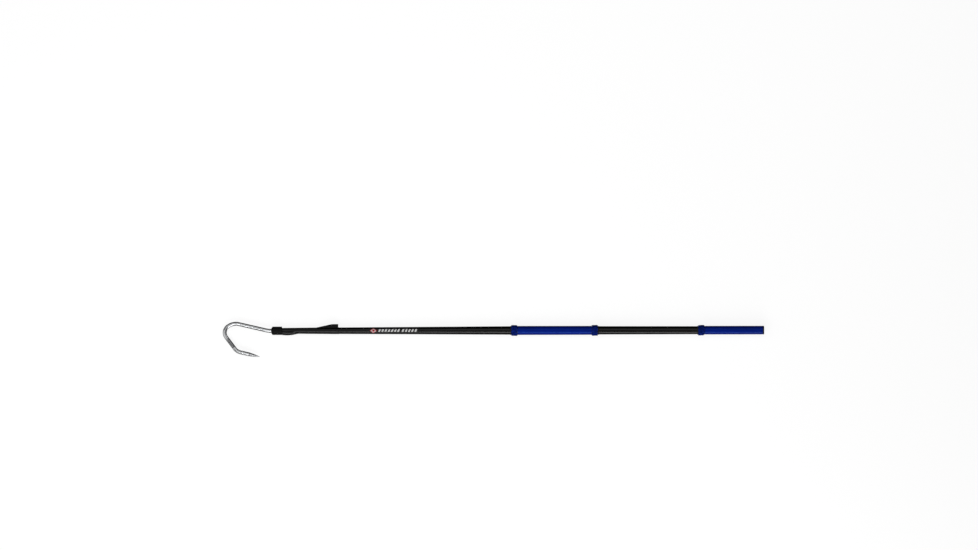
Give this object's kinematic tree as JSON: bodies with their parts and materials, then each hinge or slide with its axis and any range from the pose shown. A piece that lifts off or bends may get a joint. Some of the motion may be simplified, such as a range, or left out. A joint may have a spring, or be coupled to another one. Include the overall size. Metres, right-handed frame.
{
  "type": "fishing gaff",
  "caption": "Long-handled fishing gaff: barbless steel hook potted into a tapered carbon-fibre pole with shrink-sleeve grips, corded grip ends and a guard keeper.",
  "frame": {"origin": "centre of the butt cap's flat end face", "axes": "+X along the pole from the hook to the butt and out of the butt face; the hook lies in the XY plane and opens towards -Y; +Z is square to the hook's plane, up when the gaff lies on its side"},
  "size_m": [1.8296, 0.1188, 0.037],
  "materials": {
    "steel": "satin-polished round bar",
    "carbon": "black twill under clear coat",
    "black_sleeve": "satin heat-shrink",
    "black_rubber": "matte",
    "black_nylon": "matte moulded",
    "rivet": "black anodised",
    "epoxy": "cured resin",
    "foam": "closed cell",
    "label": "printed film",
    "blue_sleeve": "satin heat-shrink",
    "blue_cord": "braided cord",
    "black_cord": "waxed cord",
    "navy_rubber": "matte"
  },
  "bodies": {
    "root": {"gaff_hook": "steel", "shank_screw": "steel", "shank_potting": "epoxy", "pole_tube": "carbon", "tip_foam_plug": "foam", "butt_foam_plug": "foam", "nose_collar": "black_rubber", "tip_sleeve": "black_sleeve", "screw_fairing": "black_nylon", "guard_keeper": "black_nylon", "keeper_rivet_front": "rivet", "keeper_rivet_rear": "rivet", "pole_label": "label", "fore_grip_sleeve": "blue_sleeve", "fore_grip_front_knot": "blue_cord", "fore_grip_front_whipping": "black_cord", "fore_grip_rear_knot": "blue_cord", "fore_grip_rear_whipping": "black_cord", "rear_grip_sleeve": "blue_sleeve", "rear_grip_front_knot": "blue_cord", "rear_grip_front_whipping": "black_cord", "butt_cap": "navy_rubber"}
  },
  "joints": []
}
